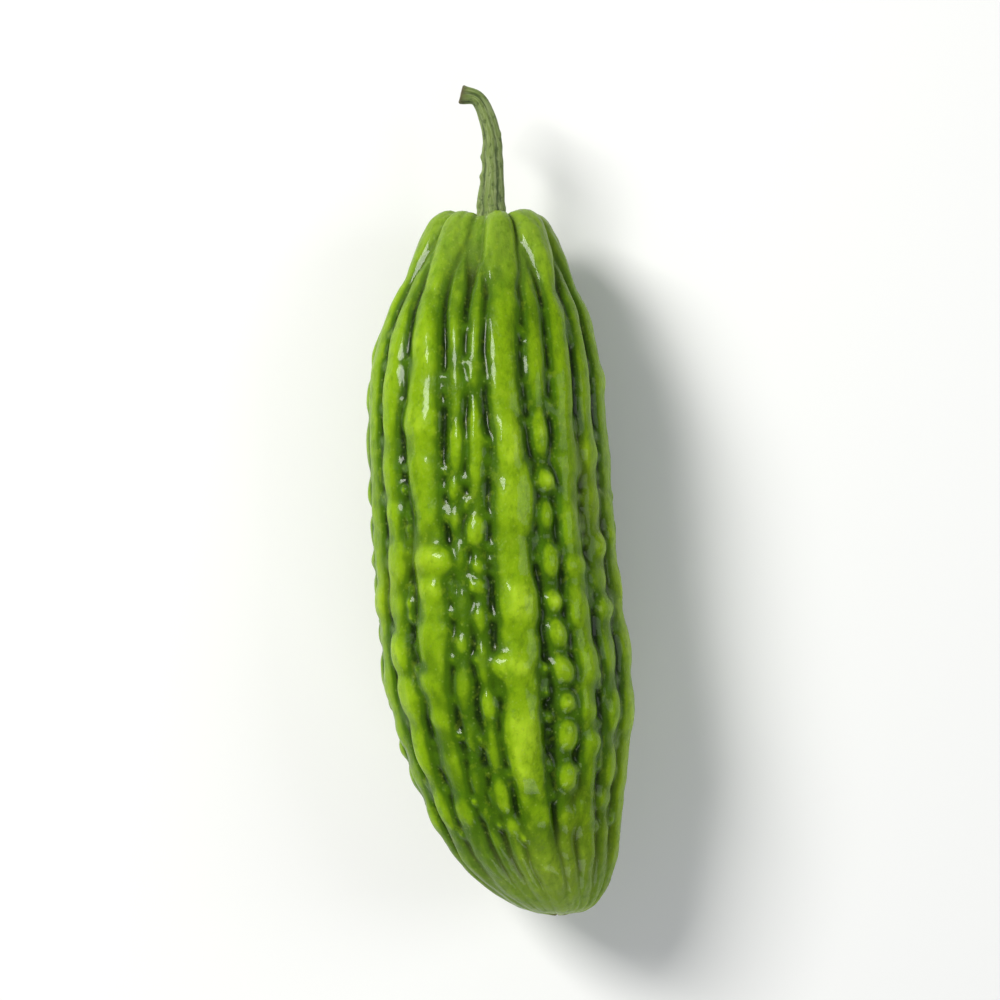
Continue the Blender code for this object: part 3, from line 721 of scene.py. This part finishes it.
def makeFruitFinish():
    look = fruitFinish
    material, tree, shader = newMaterial("waxyGourdSkin")
    coordinates = addNode(tree, "ShaderNodeTexCoord").outputs["Object"]
    paintedReliefShading = readAttribute(tree, "paintedReliefShading")
    fromCrown = readAttribute(tree, "fromCrown")
    # ramp by relief: painted shade in the creases and painted light on the crests, over the skin's own
    # greens
    ramp = addNode(tree, "ShaderNodeValToRGB", {"Fac": paintedReliefShading})
    stops = ramp.color_ramp
    stops.interpolation = "EASE"
    places = look["rampStops"]
    stops.elements[0].position = places["valley"]
    stops.elements[0].color = look["valley"]
    stops.elements[1].position = places["crest"]
    stops.elements[1].color = look["crest"]
    for name in ("flank", "ridge"):
        stops.elements.new(places[name]).color = look[name]
    colour = ramp.outputs["Color"]
    broad = stretchedNoise(tree, coordinates, *look["broad"])
    # inside the warm patches the colour goes darker in the creases and paler on the crests: painted
    # shade and painted light
    warm = mixColours(tree, paintedReliefShading, look["flank"], look["warmSide"])
    colour = tint(tree, colour, broad, look["warmBand"], warm)
    patches = stretchedNoise(tree, coordinates, *look["patches"])
    colour = tint(tree, colour, patches, look["coolBand"], look["coolPatch"])
    colour = tint(tree, colour, fromCrown, look["tipBand"], look["tip"])
    colour = tint(tree, colour, fromCrown, look["crownBand"], look["tip"])
    mottle = stretchedNoise(tree, coordinates, *look["mottle"])
    colour = tint(tree, colour, mottle, look["mottleBand"], look["coolPatch"])
    dapple = stretchedNoise(tree, coordinates, *look["dapple"])
    colour = tint(tree, colour, dapple, look["darkDapple"], look["flank"])
    # the pale dapples go from the crease colour to the crest colour: painted shade in the creases,
    # painted light on the crests
    dappleShadedByRelief = mixColours(tree, paintedReliefShading, look["valley"], look["crest"])
    colour = tint(tree, colour, dapple, look["paleDapple"], dappleShadedByRelief)
    colour = tint(tree, colour, fromCrown, look["scarBand"], look["scar"])
    cellInputs = {"Vector": coordinates, "Scale": look["cells"], "Randomness": 1.0}
    fromCell = addNode(tree, "ShaderNodeTexVoronoi", cellInputs).outputs["Distance"]
    colour = tint(tree, colour, fromCell, look["speckBand"], look["speck"])
    tree.links.new(colour, shader.inputs["Base Color"])
    gloss = stretchedNoise(tree, coordinates, *look["gloss"])
    tree.links.new(mapNumber(tree, gloss, *look["roughBand"]), shader.inputs["Roughness"])
    shader.inputs["Specular IOR Level"].default_value = look["specular"]
    shader.inputs["Coat Weight"].default_value = look["coat"]
    shader.inputs["Coat Roughness"].default_value = look["coatRoughness"]
    shader.inputs["Subsurface Weight"].default_value = look["glow"]
    shader.inputs["Subsurface Radius"].default_value = look["glowReach"]
    shader.inputs["Subsurface Scale"].default_value = look["glowDepth"]
    # each bump stands on the one before
    normal = addBump(tree, stretchedNoise(tree, coordinates, *look["fine"]), *look["fineBump"])
    lumpy = stretchedNoise(tree, coordinates, *look["lumpy"])
    normal = addBump(tree, lumpy, *look["lumpyBump"], under=normal)
    pores = mapNumber(tree, fromCell, *look["poreBand"])
    normal = addBump(tree, pores, *look["poreBump"], under=normal)
    tree.links.new(normal, shader.inputs["Normal"])
    return material


stemFinish = {
    "groove": (0.052, 0.090, 0.012, 1),
    "rib": (0.165, 0.240, 0.042, 1),
    "dusty": (0.300, 0.375, 0.150, 1),
    "young": (0.180, 0.320, 0.020, 1),
    "brown": (0.110, 0.095, 0.035, 1),
    "pith": (0.300, 0.310, 0.130, 1),
    # noises: scale, stretch, detail, roughness
    "fibres": (6.0, (1, 1, 0.10), 4.0, 0.65),
    "mottle": (2.2, (1, 1, 0.8), 4.0, 0.65),
    "grain": (16.0, (1, 1, 0.12), 4.0, 0.65),
    # bands: as for the fruit
    "ribBand": (0.15, 0.85, 0, 1),
    "dustyBand": (0.44, 0.62, 0, 0.75),
    "mottleBand": (0.52, 0.66, 0, 0.75),
    "youngBand": (0.14, 0.0, 0, 0.75),
    "brownBand": (0.955, 1.02, 0, 0.9),
    "pithBand": (1.30, 1.60, 0, 0.8),
    "roughBand": (0.3, 0.7, 0.48, 0.72),
    "grainBump": (0.9, 0.35 * mm),
    "glow": 0.05,
    "glowDepth": 0.8 * mm,
}


def makeStemFinish():
    look = stemFinish
    material, tree, shader = newMaterial("ribbedGourdStem")
    wrap = readAttribute(tree, "wrap", "Vector")
    rib = readAttribute(tree, "rib")
    along = readAttribute(tree, "alongStem")
    fibres = stretchedNoise(tree, wrap, *look["fibres"])
    mottle = stretchedNoise(tree, wrap, *look["mottle"])
    colour = tint(tree, look["groove"], rib, look["ribBand"], look["rib"])
    colour = tint(tree, colour, fibres, look["dustyBand"], look["dusty"])
    colour = tint(tree, colour, mottle, look["mottleBand"], look["groove"])
    colour = tint(tree, colour, along, look["youngBand"], look["young"])
    colour = tint(tree, colour, along, look["brownBand"], look["brown"])
    colour = tint(tree, colour, along, look["pithBand"], look["pith"])
    tree.links.new(colour, shader.inputs["Base Color"])
    tree.links.new(mapNumber(tree, fibres, *look["roughBand"]), shader.inputs["Roughness"])
    shader.inputs["Subsurface Weight"].default_value = look["glow"]
    shader.inputs["Subsurface Scale"].default_value = look["glowDepth"]
    grain = stretchedNoise(tree, wrap, *look["grain"])
    tree.links.new(addBump(tree, grain, *look["grainBump"]), shader.inputs["Normal"])
    return material


studio = {
    "floorSize": 3.0,
    "floorColour": (0.86, 0.865, 0.86, 1),
    "floorShade": 0.985,  # the darker parts of its faint clouding
    "floorClouds": (6, (1, 1, 1), 2.0, 0.55),
    "floorRough": 0.9,
    "floorSpecular": 0.1,
    # lights: place, size, watts, colour
    "lights": {
        "keyLight": ((-0.42, 0.30, 0.58), (0.24, 0.32), 6.6, (1.0, 0.985, 0.95)),
        "fillLight": ((0.55, 0.05, 0.45), (0.30, 0.50), 1.2, (0.95, 0.98, 1.0)),
        "backLight": ((0.10, -0.60, 0.35), (0.50, 0.20), 1.2, (1.0, 1.0, 1.0)),
    },
    "worldColour": (0.93, 0.96, 1.0, 1),
    "worldStrength": 0.20,
    "lens": 135,
    "filled": 0.86,  # share of the picture's height that the gourd takes
    "clipStart": 0.01,
}


def makeFloor():
    size = studio["floorSize"] / 2
    corners = [(-size, -size, 0), (size, -size, 0), (size, size, 0), (-size, size, 0)]
    floor = addMesh("studioFloor", corners, [(0, 1, 2, 3)])
    material, tree, shader = newMaterial("paleStudioFloor")
    coordinates = addNode(tree, "ShaderNodeTexCoord").outputs["Object"]
    clouds = stretchedNoise(tree, coordinates, *studio["floorClouds"])
    pale = studio["floorColour"]
    shade = tuple(studio["floorShade"] * part for part in pale[:3]) + (1,)
    tree.links.new(mixColours(tree, clouds, pale, shade), shader.inputs["Base Color"])
    shader.inputs["Roughness"].default_value = studio["floorRough"]
    shader.inputs["Specular IOR Level"].default_value = studio["floorSpecular"]
    floor.data.materials.append(material)


def addLight(name, place, target, size, power, colour):
    light = bpy.data.lights.new(name, "AREA")
    light.shape = "RECTANGLE"
    light.size, light.size_y = size
    light.energy = power
    light.color = colour
    lamp = bpy.data.objects.new(name, light)
    lamp.location = place
    lamp.rotation_euler = (Vector(target) - Vector(place)).to_track_quat("-Z", "Y").to_euler()
    bpy.context.scene.collection.objects.link(lamp)


def makeStudio():
    makeFloor()
    low, high = (Vector(corner) for corner in cadBox)
    centre = (low + high) / 2
    for name, (place, size, power, colour) in studio["lights"].items():
        addLight(name, place, centre, size, power, colour)
    world = bpy.data.worlds.new("studioWorld")
    world.use_nodes = True
    background = world.node_tree.nodes["Background"]
    background.inputs["Color"].default_value = studio["worldColour"]
    background.inputs["Strength"].default_value = studio["worldStrength"]
    bpy.context.scene.world = world
    bpy.context.scene.view_settings.view_transform = "Standard"
    camera = bpy.data.cameras.new("overheadCamera")
    camera.lens = studio["lens"]
    span = (high.y - low.y) / studio["filled"]
    distance = span * camera.lens / camera.sensor_width
    eye = bpy.data.objects.new("overheadCamera", camera)
    eye.location = (centre.x, centre.y, high.z + distance)
    camera.clip_start = studio["clipStart"]
    bpy.context.scene.collection.objects.link(eye)
    bpy.context.scene.camera = eye


fruit = makeFruit()
fruit.data.materials.append(makeFruitFinish())
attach(fruit, "root")
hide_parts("fruit")
print("fruit grown:", len(fruit.data.polygons), "faces")

stem = makeStem()
stem.data.materials.append(makeStemFinish())
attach(stem, "root")
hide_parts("stem")
print("stem grown:", len(stem.data.polygons), "faces")

makeStudio()
print("studio lit")
